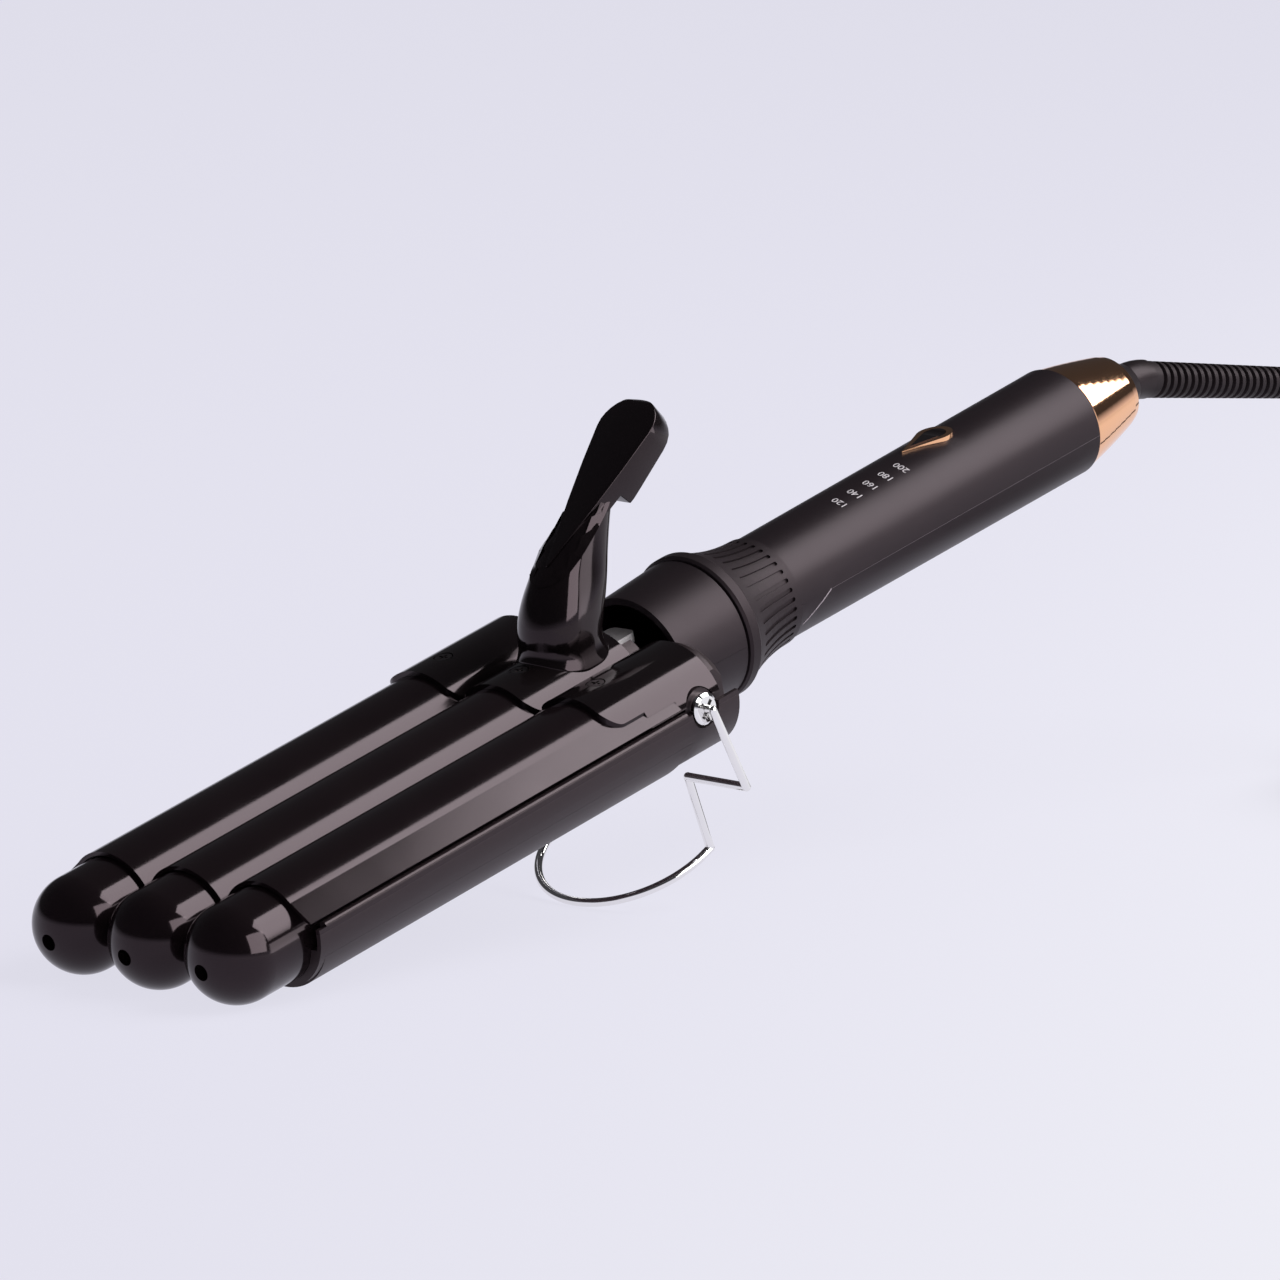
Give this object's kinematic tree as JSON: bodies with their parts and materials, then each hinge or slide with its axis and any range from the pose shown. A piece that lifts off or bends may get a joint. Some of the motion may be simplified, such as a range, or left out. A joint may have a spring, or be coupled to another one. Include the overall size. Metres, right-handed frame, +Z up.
{
  "type": "hair waver",
  "caption": "Corded hair waver with a row of round heated barrels under a sprung clamp, thumb lever, fold-out wire stand, ribbed collar, slim handle and swivel cord.",
  "frame": {"origin": "on the surface it stands on, under the middle of the appliance's length, cord left out", "axes": "+X from the barrel tips to the cord end, +Z up, +Y to the right seen from the handle end turned round, so that the side with barrel_left faces +Y"},
  "size_m": [0.4786, 0.1717, 0.1235],
  "materials": {
    "barrel": "glossy ceramic-coated aluminium, near black",
    "cap": "glossy, heat resistant",
    "heater": "extruded",
    "tray": "satin, near black",
    "steel": "plain",
    "chrome": "polished",
    "dark_steel": "blackened",
    "gloss": "glossy, near black",
    "grip": "satin, near black",
    "rose_gold": "polished rose gold",
    "switch": "plain",
    "board": "lacquered",
    "lead": "silicone insulation",
    "elbow": "satin",
    "cord": "smooth",
    "pin_metal": "nickel plated"
  },
  "bodies": {
    "base": {"barrel_left": "barrel", "barrel_middle": "barrel", "barrel_right": "barrel", "tip_cap_left": "cap", "tip_cap_middle": "cap", "tip_cap_right": "cap", "heater_left": "heater", "heater_middle": "heater", "heater_right": "heater", "tray_frame": "tray", "bottom_cover": "tray", "cover_screws": "steel", "hinge_pin": "steel", "hinge_screws": "chrome", "clamp_spring": "steel", "handle_upper_shell": "grip", "handle_lower_shell": "grip", "shell_screws": "steel", "ribbed_collar": "grip", "button_bezel": "rose_gold", "button_switch": "switch", "control_board": "board", "heater_leads": "lead", "rear_ring": "rose_gold"},
    "clamp": {"clamp_plate": "barrel", "jaw_liner": "tray", "lever_bracket": "gloss", "thumb_lever": "gloss", "thumb_pad": "grip", "bracket_screws": "dark_steel", "stop_tongue": "steel"},
    "stand": {"stand_wire": "chrome"},
    "button": {"power_button": "gloss"},
    "cord_swivel": {"swivel_elbow": "elbow", "strain_relief": "cord", "cord": "cord", "cord_coil": "cord", "cord_tie": "cord", "cord_tail": "cord", "plug_body": "elbow", "plug_pins": "pin_metal"}
  },
  "joints": [
    {"name": "clamp_hinge", "type": "hinge", "parent": "base", "child": "clamp", "pos_m": [-0.05695, 0, 0.05433], "axis": [0, 1, 0], "range_deg": [0, 26], "stiffness_Nm_per_rad": 0.5, "springref_deg": -20.05},
    {"name": "stand_fold", "type": "hinge", "parent": "base", "child": "stand", "pos_m": [-0.05695, 0, 0.05433], "axis": [0, 1, 0], "range_deg": [-80, 0]},
    {"name": "button_press", "type": "slide", "parent": "base", "child": "button", "axis": [0.2591, 0, -0.9658], "range_m": [0, 0.0008], "stiffness_N_per_m": 500, "springref_m": -0.001},
    {"name": "cord_turn", "type": "hinge", "parent": "base", "child": "cord_swivel", "pos_m": [0.14362, 0, 0.10638], "axis": [0.9658, 0, 0.2591], "continuous": true}
  ]
}
